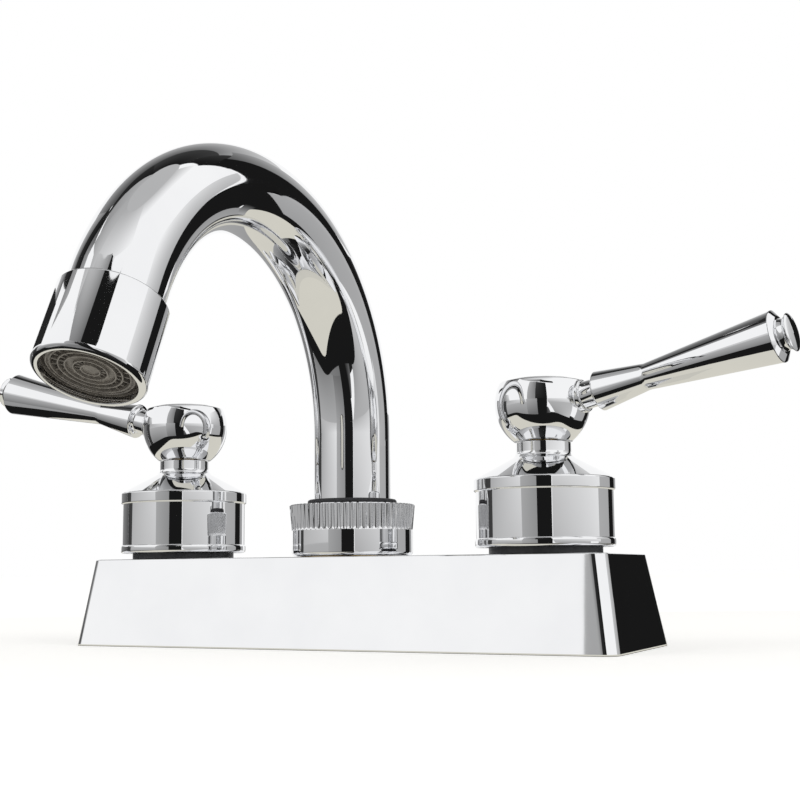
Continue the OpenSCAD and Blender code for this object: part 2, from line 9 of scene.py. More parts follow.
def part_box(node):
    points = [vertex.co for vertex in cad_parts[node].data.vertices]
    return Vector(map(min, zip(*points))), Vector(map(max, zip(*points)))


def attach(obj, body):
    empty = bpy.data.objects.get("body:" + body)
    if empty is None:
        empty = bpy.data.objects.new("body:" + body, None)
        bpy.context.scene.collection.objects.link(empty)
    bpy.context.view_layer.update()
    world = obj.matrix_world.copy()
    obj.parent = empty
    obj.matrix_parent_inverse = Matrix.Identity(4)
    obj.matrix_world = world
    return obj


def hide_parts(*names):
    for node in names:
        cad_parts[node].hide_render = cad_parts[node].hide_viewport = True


mm = 0.001  # the pieces' sizes are written in millimetres, and the studio's in metres
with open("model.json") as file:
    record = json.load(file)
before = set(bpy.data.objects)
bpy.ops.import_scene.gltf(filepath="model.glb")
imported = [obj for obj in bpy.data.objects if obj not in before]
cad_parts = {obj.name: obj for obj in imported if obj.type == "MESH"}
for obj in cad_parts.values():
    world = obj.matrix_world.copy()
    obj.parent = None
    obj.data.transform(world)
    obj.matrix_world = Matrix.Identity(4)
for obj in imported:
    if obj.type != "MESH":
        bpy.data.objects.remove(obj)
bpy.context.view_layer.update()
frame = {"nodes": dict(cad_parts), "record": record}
nodes = frame["nodes"]
print("frame loaded:", len(nodes), "nodes")


# Materials

def newMaterial(name, colour, metallic, roughness):
    mat = bpy.data.materials.new(name)
    mat.use_nodes = True
    shader = mat.node_tree.nodes["Principled BSDF"]
    shader.inputs["Base Color"].default_value = (*colour, 1)
    shader.inputs["Metallic"].default_value = metallic
    shader.inputs["Roughness"].default_value = roughness
    return mat, mat.node_tree.nodes, mat.node_tree.links, shader


def addNoise(tree, links, scale, detail=3.0):
    coord = tree.new("ShaderNodeTexCoord")
    noise = tree.new("ShaderNodeTexNoise")
    noise.inputs["Scale"].default_value = scale
    noise.inputs["Detail"].default_value = detail
    links.new(coord.outputs["Object"], noise.inputs["Vector"])
    return noise


def addRange(tree, links, source, low, high):
    span = tree.new("ShaderNodeMapRange")
    span.inputs["To Min"].default_value = low
    span.inputs["To Max"].default_value = high
    links.new(source, span.inputs["Value"])
    return span.outputs["Result"]


def addBump(tree, links, shader, source, strength, distance):
    bump = tree.new("ShaderNodeBump")
    bump.inputs["Strength"].default_value = strength
    bump.inputs["Distance"].default_value = distance
    links.new(source, bump.inputs["Height"])
    links.new(bump.outputs["Normal"], shader.inputs["Normal"])


tintEnds = (0.3, 0.7)  # where in the noise the dark colour ends and the light one starts


def tintBetween(tree, links, shader, factor, dark, light):
    ramp = tree.new("ShaderNodeValToRGB")
    for end, position, colour in zip(ramp.color_ramp.elements, tintEnds, (dark, light)):
        end.position = position
        end.color = (*colour, 1)
    links.new(factor, ramp.inputs["Fac"])
    links.new(ramp.outputs["Color"], shader.inputs["Base Color"])


chrome = {
    "dark": (0.86, 0.865, 0.88), "light": (0.9, 0.905, 0.915),
    "patch": 60.0, "smooth": 0.012, "rough": 0.035,
    "ripple": 220.0, "rippleHeight": 0.000002, "rippleStrength": 0.2,
}


def makeChrome():
    mat, tree, links, shader = newMaterial("polishedChrome", chrome["light"], 1.0, chrome["smooth"])
    patch = addNoise(tree, links, chrome["patch"])
    tintBetween(tree, links, shader, patch.outputs["Fac"], chrome["dark"], chrome["light"])
    roughness = addRange(tree, links, patch.outputs["Fac"], chrome["smooth"], chrome["rough"])
    links.new(roughness, shader.inputs["Roughness"])
    ripple = addNoise(tree, links, chrome["ripple"], detail=1.0)
    addBump(tree, links, shader, ripple.outputs["Fac"], chrome["rippleStrength"], chrome["rippleHeight"])
    return mat


# name: dark and light colour, metallic, roughness from and to, grain per metre, bump height in metres
plainFinishes = {
    "machinedBrass": ((0.62, 0.45, 0.2), (0.74, 0.56, 0.28), 1.0, 0.22, 0.4, 400.0, 0.00002),
    "zincSteel": ((0.5, 0.5, 0.52), (0.64, 0.65, 0.66), 1.0, 0.2, 0.38, 500.0, 0.00001),
    "softRubber": ((0.012, 0.012, 0.014), (0.03, 0.03, 0.033), 0.0, 0.5, 0.75, 900.0, 0.00003),
    "darkNylon": ((0.03, 0.032, 0.036), (0.055, 0.058, 0.064), 0.0, 0.38, 0.55, 700.0, 0.00002),
    "aeratorResin": ((0.14, 0.125, 0.108), (0.25, 0.23, 0.2), 0.0, 0.3, 0.48, 900.0, 0.00002),
    "glazedCeramic": ((0.8, 0.78, 0.72), (0.9, 0.89, 0.85), 0.0, 0.12, 0.22, 300.0, 0.000005),
}


grainDetail = 6.0
grainStrength = 0.5


def makePlain(name):
    dark, light, metallic, smooth, rough, grain, bumpHeight = plainFinishes[name]
    mat, tree, links, shader = newMaterial(name, light, metallic, smooth)
    noise = addNoise(tree, links, grain, detail=grainDetail)
    tintBetween(tree, links, shader, noise.outputs["Fac"], dark, light)
    links.new(addRange(tree, links, noise.outputs["Fac"], smooth, rough), shader.inputs["Roughness"])
    addBump(tree, links, shader, noise.outputs["Fac"], grainStrength, bumpHeight)
    return mat


finishes = {name: makePlain(name) for name in plainFinishes}
finishes["polishedChrome"] = makeChrome()

slotFinish = {
    "chrome_plate": "polishedChrome", "brass": "machinedBrass", "steel": "zincSteel",
    "black_rubber": "softRubber", "grey_plastic": "darkNylon",
    "aerator_plastic": "aeratorResin", "ceramic": "glazedCeramic",
}
nodeSlot = {row["node"]: row["material_slot"] for row in frame["record"]["subparts"]}
for nodeName, obj in nodes.items():
    obj.data.materials.clear()
    obj.data.materials.append(finishes[slotFinish[nodeSlot[nodeName]]])
print("materials:", len(finishes))


# Helpers for new pieces

cornerSteps = 5  # faces in each rounded corner of a turned outline


def drawOutline(mesh, points, closed=False):
    # points are (radius, height, rounding) in millimetres, drawn in the xz plane
    corners = [mesh.verts.new((r * mm, 0, z * mm)) for r, z, rounding in points]
    pairs = list(zip(corners, corners[1:]))
    if closed:
        pairs.append((corners[-1], corners[0]))
    for a, b in pairs:
        mesh.edges.new((a, b))
    for corner, (r, z, rounding) in zip(corners, points):
        if rounding:
            bmesh.ops.bevel(mesh, geom=[corner], offset=rounding * mm, offset_type="OFFSET",
                            segments=cornerSteps, profile=0.5, affect="VERTICES", material=-1)


def turn(points, steps, closed=False):
    mesh = bmesh.new()
    drawOutline(mesh, points, closed)
    bmesh.ops.spin(mesh, geom=mesh.verts[:] + mesh.edges[:], axis=(0, 0, 1), cent=(0, 0, 0),
                   angle=math.tau, steps=steps, use_merge=True)
    bmesh.ops.remove_doubles(mesh, verts=mesh.verts, dist=1e-7)
    bmesh.ops.recalc_face_normals(mesh, faces=mesh.faces)
    return mesh


def finishPiece(name, mesh, body, replaced, finish, place=None, sharpAngle=32):
    if place is not None:
        bmesh.ops.transform(mesh, matrix=place, verts=mesh.verts)
    for face in mesh.faces:
        face.smooth = True
    for edge in mesh.edges:
        edge.smooth = len(edge.link_faces) == 2 and edge.calc_face_angle(0) < math.radians(sharpAngle)
    data = bpy.data.meshes.new(name)
    mesh.to_mesh(data)
    mesh.free()
    piece = bpy.data.objects.new(name, data)
    bpy.context.scene.collection.objects.link(piece)
    data.materials.append(finishes[finish])
    weighted = piece.modifiers.new("evenShading", "WEIGHTED_NORMAL")
    weighted.keep_sharp = True
    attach(piece, body)
    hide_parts(*replaced)
    return piece


def heights(nodeName):
    low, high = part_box(nodeName)
    return low.z / mm, high.z / mm


def axisOf(nodeName):
    low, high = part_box(nodeName)
    return Vector(((low.x + high.x) / 2, (low.y + high.y) / 2, 0))


# Base cover: an open box with leaning sides, rounded corners and a crisp top edge
coverShape = {
    "topWidth": 138.6, "frontTop": 15.3, "backTop": 21.8, "corner": 3.5, "cornerSteps": 12,
    "topEdge": 0.3, "edgeSteps": 3, "wall": 1.6, "valveHole": 12.3, "postHole": 13.3, "holeSteps": 96,
}
near = 1e-6  # metres; a face or edge this close to a height counts as lying at it


def makeCover():
    low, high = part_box("base_cover")
    mesh = bmesh.new()
    foot = [(low.x, low.y), (high.x, low.y), (high.x, high.y), (low.x, high.y)]
    base = mesh.faces.new([mesh.verts.new((x, y, low.z)) for x, y in foot])
    side = bmesh.ops.extrude_face_region(mesh, geom=[base])
    topVerts = [v for v in side["geom"] if isinstance(v, bmesh.types.BMVert)]
    halfTop = coverShape["topWidth"] / 2 * mm
    for v in topVerts:
        v.co.x = math.copysign(halfTop, v.co.x)
        v.co.y = coverShape["backTop"] * mm if v.co.y > 0 else -coverShape["frontTop"] * mm
        v.co.z = high.z
    bmesh.ops.recalc_face_normals(mesh, faces=mesh.faces)
    upright = [e for e in mesh.edges if abs(e.verts[0].co.z - e.verts[1].co.z) > near]
    bmesh.ops.bevel(mesh, geom=upright, offset=coverShape["corner"] * mm, offset_type="OFFSET",
                    segments=coverShape["cornerSteps"], profile=0.5, affect="EDGES", material=-1)
    rim = [e for e in mesh.edges if min(v.co.z for v in e.verts) > high.z - near]
    bmesh.ops.bevel(mesh, geom=rim, offset=coverShape["topEdge"] * mm, offset_type="OFFSET",
                    segments=coverShape["edgeSteps"], profile=0.5, affect="EDGES", material=-1)
    under = [f for f in mesh.faces if f.calc_center_median().z < low.z + near]
    roof = next(f for f in mesh.faces if min(v.co.z for v in f.verts) > high.z - near)
    border = list(roof.edges)
    bmesh.ops.delete(mesh, geom=under + [roof], context="FACES_ONLY")
    holes = {"left_skirt": "valveHole", "right_skirt": "valveHole", "spout_nut": "postHole"}
    for nodeName, holeName in holes.items():
        place = Matrix.Translation(axisOf(nodeName) + Vector((0, 0, high.z)))
        hole = bmesh.ops.create_circle(mesh, radius=coverShape[holeName] * mm,
                                       segments=coverShape["holeSteps"], matrix=place)
        border += {e for v in hole["verts"] for e in v.link_edges}
    bmesh.ops.triangle_fill(mesh, use_beauty=True, edges=border)
    bmesh.ops.recalc_face_normals(mesh, faces=mesh.faces)
    piece = finishPiece("coverShell", mesh, "base", ["base_cover"], "polishedChrome")
    wall = piece.modifiers.new("wall", "SOLIDIFY")
    wall.thickness = coverShape["wall"] * mm
    wall.offset = -1
    piece.modifiers.move(1, 0)


makeCover()
print("base cover done")


# Skirts: bead, side, collar band, cone and neck
skirtShape = {
    "steps": 160, "sideR": 16.1, "bead": 2.0, "beadOut": 0.3, "collarOut": 0.45, "collarHeight": 2.9,
    "sideHeight": 15.8, "coneHeight": 5.4, "neckR": 6.5, "bore": 4.2, "mouthR": 14.4,
    "beadRound": 0.7, "collarRise": 0.25, "collarRound": 0.3, "coneRound": 1.0, "neckRound": 0.25,
    "hollowIn": 2.2, "hollowFoot": 4.0, "hollowSlope": 1.0, "roofDrop": 3.0, "fineEdge": 0.1,
}


def makeSkirt(side):
    s = skirtShape
    nodeName = side + "_skirt"
    foot, top = heights(nodeName)
    collarTop = foot + s["sideHeight"]
    collarFoot = collarTop - s["collarHeight"]
    collarR = s["sideR"] + s["collarOut"]
    coneTop = collarTop + s["coneHeight"]
    beadR = s["sideR"] + s["beadOut"]
    beadTop = foot + s["bead"]
    hollowR = s["mouthR"] - s["hollowIn"]
    hollowFoot = foot + s["hollowFoot"]
    outline = [
        (s["mouthR"], foot, s["fineEdge"]), (beadR, foot, s["beadRound"]),
        (beadR, beadTop, s["beadRound"] - 0.1), (s["sideR"], beadTop + 0.1, s["fineEdge"]),
        (s["sideR"], collarFoot, 0), (collarR, collarFoot + s["collarRise"], s["collarRound"] - 0.1),
        (collarR, collarTop, s["collarRound"]), (s["neckR"], coneTop, s["coneRound"]),
        (s["neckR"], top, s["neckRound"]), (s["bore"], top, s["fineEdge"]),
        (s["bore"], coneTop - s["roofDrop"], 0), (hollowR, collarTop - s["hollowSlope"], 0),
        (hollowR, hollowFoot, 0), (s["mouthR"], hollowFoot - s["hollowSlope"], 0),
    ]
    mesh = turn(outline, s["steps"], closed=True)
    place = Matrix.Translation(axisOf(nodeName))
    finishPiece(side + "SkirtShell", mesh, "base", [nodeName], "polishedChrome", place)


for side in ("left", "right"):
    makeSkirt(side)
print("skirts done")


# Dark ring nuts under the skirts
ringNutShape = {"steps": 96, "edge": 0.25, "wall": 1.1}


def makeCoverNut(side):
    nodeName = side + "_cover_nut"
    low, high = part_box(nodeName)
    outer = (high.x - low.x) / 2 / mm
    foot, top = heights(nodeName)
    inner = outer - ringNutShape["wall"]
    edge = ringNutShape["edge"]
    outline = [(inner, foot, 0), (outer, foot, edge), (outer, top, edge), (inner, top, 0)]
    mesh = turn(outline, ringNutShape["steps"], closed=True)
    place = Matrix.Translation(axisOf(nodeName))
    finishPiece(side + "RingNut", mesh, "base", [nodeName], "darkNylon", place)


for side in ("left", "right"):
    makeCoverNut(side)
print("ring nuts done")


# Ball-shaped hubs with a flat top, and the domed cap in it
ballShape = {"steps": 160, "radius": 11.23, "ballSteps": 40, "edge": 0.45, "footR": 6.9,
             "socketR": 3.45, "recessR": 8.4, "recess": 1.4, "recessEdge": 0.15}
capShape = {"steps": 128, "radius": 8.3, "stand": 0.35, "edge": 0.35, "domeSteps": 8}
domeFit = 0.97  # share of its rim's radius that a dome starts with


def makeHub(side):
    b = ballShape
    nodeName = side + "_hub"
    foot, top = heights(nodeName)
    centre = foot + math.sqrt(b["radius"] ** 2 - b["footR"] ** 2)
    startAngle = math.asin((foot - centre) / b["radius"])
    endAngle = math.asin((top - centre) / b["radius"])
    outline = [(b["socketR"], foot, 0)]
    for i in range(b["ballSteps"] + 1):
        angle = startAngle + (endAngle - startAngle) * i / b["ballSteps"]
        rounding = b["edge"] if i == b["ballSteps"] else 0
        outline.append((b["radius"] * math.cos(angle), centre + b["radius"] * math.sin(angle), rounding))
    floor = top - b["recess"]
    outline += [(b["recessR"], top, b["recessEdge"]), (b["recessR"], floor, 0), (b["socketR"], floor, 0)]
    mesh = turn(outline, b["steps"], closed=True)
    place = Matrix.Translation(axisOf(side + "_skirt"))
    finishPiece(side + "Ball", mesh, side + "_handle", [nodeName], "polishedChrome", place)


def makeCap(side):
    c = capShape
    nodeName = side + "_index_cap"
    foot, top = heights(nodeName)
    seat = heights(side + "_hub")[1]
    edgeTop = seat + c["stand"]
    rise = top - edgeTop
    outline = [(0, foot, 0), (c["radius"], foot, 0), (c["radius"], edgeTop, c["edge"])]
    for i in range(1, c["domeSteps"] + 1):
        t = i / c["domeSteps"]
        outline.append((c["radius"] * (1 - t) * domeFit, edgeTop + rise * (1 - (1 - t) ** 2), 0))
    mesh = turn(outline, c["steps"])
    finishPiece(side + "IndexCap", mesh, side + "_handle", [nodeName], "polishedChrome",
                Matrix.Translation(axisOf(side + "_skirt")))


for side in ("left", "right"):
    makeHub(side)
    makeCap(side)
print("hubs done")


# Turned levers, drawn along z and laid along each lever's axis; S values are measured along it
leverShape = {
    "steps": 128, "leftTilt": 13.5, "rightTilt": 10.5, "leftTurn": 2.0, "rightTurn": 11.0, "drop": 1.0,
    "stubR": 2.45, "stubS": 6.0, "seatS": 10.4, "collarR": 3.9, "collarLength": 1.3,
    "neckR": 3.3, "rootS": 15.4, "rootR": 4.75, "rootFlare": 0.5, "waistS": 27.6, "waistR": 3.1,
    "wideS": 58.6, "wideR": 5.8, "shoulderS": 59.5, "grooveR": 3.6, "buttonS": 61.6, "buttonR": 4.3,
    "rimLength": 0.8, "domeRise": 0.7, "domeSteps": 12,
}


def makeLever(side):
    v = leverShape
    outline = [
        (0, v["stubS"], 0), (v["stubR"], v["stubS"], 0.2), (v["stubR"], v["seatS"], 0),
        (v["collarR"], v["seatS"], 0.2), (v["collarR"], v["seatS"] + v["collarLength"], 0.3),
        (v["neckR"], v["seatS"] + v["collarLength"], 0.1), (v["neckR"], v["rootS"] - v["rootFlare"], 0.25),
        (v["neckR"] + v["rootFlare"], v["rootS"], 0.15), (v["rootR"], v["rootS"], 0.45),
        (v["waistR"], v["waistS"], 0.5), (v["wideR"], v["wideS"], 0.15),
        (v["buttonR"] - 0.05, v["shoulderS"], 0.15), (v["grooveR"], v["shoulderS"] + 0.05, 0.1),
        (v["grooveR"] - 0.1, v["buttonS"] - v["rimLength"], 0.3), (v["buttonR"], v["buttonS"], 0.15),
    ]
    for i in range(1, v["domeSteps"] + 1):
        angle = math.pi / 2 * i / v["domeSteps"]
        rise = v["domeRise"] * math.sin(angle)
        outline.append((v["buttonR"] * math.cos(angle) * domeFit, v["buttonS"] + rise, 0))
    mesh = turn(outline, v["steps"])
    foot, top = heights(side + "_hub")
    ballCentre = foot + math.sqrt(ballShape["radius"] ** 2 - ballShape["footR"] ** 2)
    heading = math.radians(180 + v["leftTurn"] if side == "left" else -v["rightTurn"])
    lean = math.radians(90 - v[side + "Tilt"])
    root = axisOf(side + "_skirt") + Vector((0, 0, (ballCentre - v["drop"]) * mm))
    place = Matrix.Translation(root) @ Matrix.Rotation(heading, 4, "Z") @ Matrix.Rotation(lean, 4, "Y")
    finishPiece(side + "LeverArm", mesh, side + "_handle", [side + "_lever"], "polishedChrome", place)


for side in ("left", "right"):
    makeLever(side)
print("levers done")


# Spout tube: straight, bend and outlet, with its wall
spoutShape = {
    "radius": 9.645, "wall": 1.2, "tailR": 8.85, "bendR": 49.5, "bendAngle": 156.0, "bendZ": 52.3,
    "straight": 3.7, "reachIn": 7.5, "ringVerts": 128, "bendSteps": 104,
}


def outletPlace():
    s = spoutShape
    centre = Vector((0, -s["bendR"] * mm, s["bendZ"] * mm))
    return (Matrix.Translation(centre) @ Matrix.Rotation(math.radians(s["bendAngle"]), 4, "X")
            @ Matrix.Translation((0, s["bendR"] * mm, 0)))


def pick(geom, kind):
    return [g for g in geom if isinstance(g, kind)]


def makeSpout():
    s = spoutShape
    foot = heights("spout_tube")[0]
    shoulder = heights("spout_retainer")[0]
    mesh = bmesh.new()
    ring = bmesh.ops.create_circle(mesh, cap_ends=False, radius=s["tailR"] * mm, segments=s["ringVerts"],
                                   matrix=Matrix.Translation((0, 0, foot * mm)))
    edges = list({e for v in ring["verts"] for e in v.link_edges})
    stations = [(s["tailR"], shoulder), (s["radius"], shoulder), (s["radius"], s["bendZ"])]
    radius, level = s["tailR"], foot
    for nextRadius, nextLevel in stations:
        grown = bmesh.ops.extrude_edge_only(mesh, edges=edges)["geom"]
        verts = pick(grown, bmesh.types.BMVert)
        edges = pick(grown, bmesh.types.BMEdge)
        bmesh.ops.translate(mesh, verts=verts, vec=(0, 0, (nextLevel - level) * mm))
        grow = nextRadius / radius
        bmesh.ops.scale(mesh, verts=verts, vec=(grow, grow, 1))
        radius, level = nextRadius, nextLevel
    spun = bmesh.ops.spin(mesh, geom=edges, axis=(1, 0, 0), cent=(0, -s["bendR"] * mm, s["bendZ"] * mm),
                          angle=math.radians(s["bendAngle"]), steps=s["bendSteps"])
    grown = bmesh.ops.extrude_edge_only(mesh, edges=pick(spun["geom_last"], bmesh.types.BMEdge))["geom"]
    outward = outletPlace().to_3x3() @ Vector((0, 0, (s["straight"] + s["reachIn"]) * mm))
    bmesh.ops.translate(mesh, verts=pick(grown, bmesh.types.BMVert), vec=outward)
    bmesh.ops.recalc_face_normals(mesh, faces=mesh.faces)
    piece = finishPiece("spoutPipe", mesh, "spout", ["spout_tube"], "polishedChrome")
    wall = piece.modifiers.new("wall", "SOLIDIFY")
    wall.thickness = s["wall"] * mm
    wall.offset = -1
    piece.modifiers.move(1, 0)


makeSpout()
print("spout done")


# Spout nut: smooth band below, flared knurled band above
nutShape = {
    "radius": 15.1, "footRound": 1.0, "flare": 0.6, "knurlHeight": 6.4, "knurls": 64, "columnsEach": 8,
    "rows": 6, "depth": 0.6, "footShare": 0.55, "sharpness": 0.8, "runOut": 0.7,
    "runOutRows": (0, 0.1, 0.25, 0.45, 0.7), "topChamfer": 0.25, "topIn": 0.35,
    "bore": 13.15, "topHole": 9.95, "topWall": 1.7,
}
ringShape = {"steps": 128, "wall": 1.4, "outerRound": 0.45, "innerRound": 0.2}


def makeNut():
    n = nutShape
    foot, top = heights("spout_nut")
    knurlFoot = top - n["knurlHeight"]
    outline = [(n["bore"], foot, 0.1), (n["radius"], foot, n["footRound"]),
               (n["radius"], knurlFoot - 0.05, 0)]
    step = (n["knurlHeight"] - n["runOut"] - n["topChamfer"]) / n["rows"]
    rises = [*n["runOutRows"], *(n["runOut"] + step * i for i in range(1, n["rows"] + 1))]
    for rise in rises:
        outline.append((n["radius"] + n["flare"] * rise / n["knurlHeight"], knurlFoot + rise, 0))
    outline += [(n["radius"] + n["flare"] - n["topIn"], top, 0), (n["topHole"], top, 0.1),
                (n["topHole"], top - n["topWall"], 0), (n["bore"], top - n["topWall"], 0)]
    mesh = turn(outline, n["knurls"] * n["columnsEach"], closed=True)
    for v in mesh.verts:
        r = math.hypot(v.co.x, v.co.y)
        if v.co.z > (knurlFoot - 0.01) * mm and r > (n["radius"] - 0.01) * mm:
            rise = max(v.co.z / mm - knurlFoot, 0)
            wave = abs(math.sin(math.atan2(v.co.y, v.co.x) * n["knurls"] / 2)) ** n["sharpness"]
            runOut = min(rise / n["runOut"], 1)
            share = n["footShare"] + (1 - n["footShare"]) * rise / n["knurlHeight"]
            cut = n["depth"] * share * wave * math.sqrt(runOut * (2 - runOut))
            v.co.x *= 1 - cut * mm / r
            v.co.y *= 1 - cut * mm / r
    finishPiece("knurledNut", mesh, "base", ["spout_nut"], "polishedChrome", sharpAngle=38)


def makeNutRing():
    low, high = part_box("spout_ring")
    outer = (high.x - low.x) / 2 / mm
    foot, top = heights("spout_ring")
    inner = outer - ringShape["wall"]
    rounding = (top - foot) * ringShape["outerRound"]
    outline = [(inner, foot, 0), (outer, foot, rounding), (outer, top, rounding),
               (inner, top, ringShape["innerRound"])]
    mesh = turn(outline, ringShape["steps"], closed=True)
    finishPiece("nutRing", mesh, "base", ["spout_ring"], "softRubber")


makeNut()
makeNutRing()
print("spout nut done")


# Aerator housing with its rounded mouth
housingShape = {"steps": 160, "radius": 10.9, "bore": 9.8, "length": 16.9, "lip": 1.5, "mouthR": 9.3,
                "topRound": 0.4, "mouthRound": 1.0}


def makeHousing():
    h = housingShape
    start = spoutShape["straight"]
    end = start + h["length"]
    outline = [
        (h["bore"], start, 0.1), (h["radius"], start, h["topRound"]), (h["radius"], end, h["mouthRound"]),
        (h["mouthR"], end, 0.12), (h["mouthR"], end - h["lip"], 0), (h["bore"], end - h["lip"], 0),
    ]
    mesh = turn(outline, h["steps"], closed=True)
    finishPiece("aeratorCap", mesh, "spout", ["aerator_housing"], "polishedChrome", outletPlace())


makeHousing()
print("aerator housing done")


# Floor, stand and studio cards, which are not part of the object. The stand and the cards show only in
# polished faces, where they take the floor's place; cardCell is in degrees.
studio = {
    "floorSize": 12.0, "floorDark": (0.79, 0.78, 0.75), "floorLight": (0.81, 0.8, 0.77), "floorRough": 0.6,
    "floorPatch": 3.0, "floorGlow": 0.4, "cardRadius": 6.0, "cardGap": 0.03, "cardCell": 3, "plainLevel": 0.7,
}


def addStagePiece(name, mesh, mat):
    data = bpy.data.meshes.new(name)
    mesh.to_mesh(data)
    mesh.free()
    piece = bpy.data.objects.new(name, data)
    bpy.context.scene.collection.objects.link(piece)
    data.materials.append(mat)
    return piece


def makeFloor():
    mesh = bmesh.new()
    bmesh.ops.create_grid(mesh, x_segments=1, y_segments=1, size=studio["floorSize"] / 2)
    mat, tree, links, shader = newMaterial("paleFloorPaint", studio["floorLight"], 0.0, studio["floorRough"])
    noise = addNoise(tree, links, studio["floorPatch"])
    tintBetween(tree, links, shader, noise.outputs["Fac"], studio["floorDark"], studio["floorLight"])
    shader.inputs["Emission Color"].default_value = (1, 1, 1, 1)
    path = tree.new("ShaderNodeLightPath")
    glow = tree.new("ShaderNodeMath")
    glow.operation = "MULTIPLY"
    glow.inputs[1].default_value = studio["floorGlow"]
    links.new(path.outputs["Is Camera Ray"], glow.inputs[0])
    links.new(glow.outputs["Value"], shader.inputs["Emission Strength"])
    floor = addStagePiece("paleFloor", mesh, mat)
    floor.visible_glossy = False


def glowing(name, colour):
    mat, tree, links, shader = newMaterial(name, (0, 0, 0), 0.0, 1.0)
    shader.inputs["Specular IOR Level"].default_value = 0
    shader.inputs["Emission Color"].default_value = (*colour, 1)
    shader.inputs["Emission Strength"].default_value = 1
    return mat, tree, links, shader


def mirroredOnly(piece):
    piece.visible_camera = False
    piece.visible_diffuse = False
    piece.visible_shadow = False


# The cream stand that the polished faces mirror, and the dark gap round it
# name: front left, front right, back left, back right corner, height, rounding of the corners, colour
stands = {
    "darkGap": ((-0.09, -0.125), (0.15, -0.09), (-0.32, 0.12), (0.17, 0.35),
                0.0001, 0.03, (0.01, 0.01, 0.01)),
    "creamStand": ((-0.06, -0.093), (0.112, -0.026), (-0.25, 0.14), (0.1, 0.35),
                   0.0004, 0.02, (0.7, 0.68, 0.6)),
}


def makeStand(name, frontLeft, frontRight, backLeft, backRight, level, cut, colour):
    mesh = bmesh.new()
    made = bmesh.ops.create_grid(mesh, x_segments=1, y_segments=1, size=0.5)
    for v in made["verts"]:
        left, right = (backLeft, backRight) if v.co.y > 0 else (frontLeft, frontRight)
        v.co = (*(right if v.co.x > 0 else left), level)
    bmesh.ops.bevel(mesh, geom=mesh.verts[:], offset=cut, offset_type="OFFSET", segments=4,
                    profile=0.5, affect="VERTICES", material=-1)
    mirroredOnly(addStagePiece(name, mesh, glowing(name + "Paint", colour)[0]))


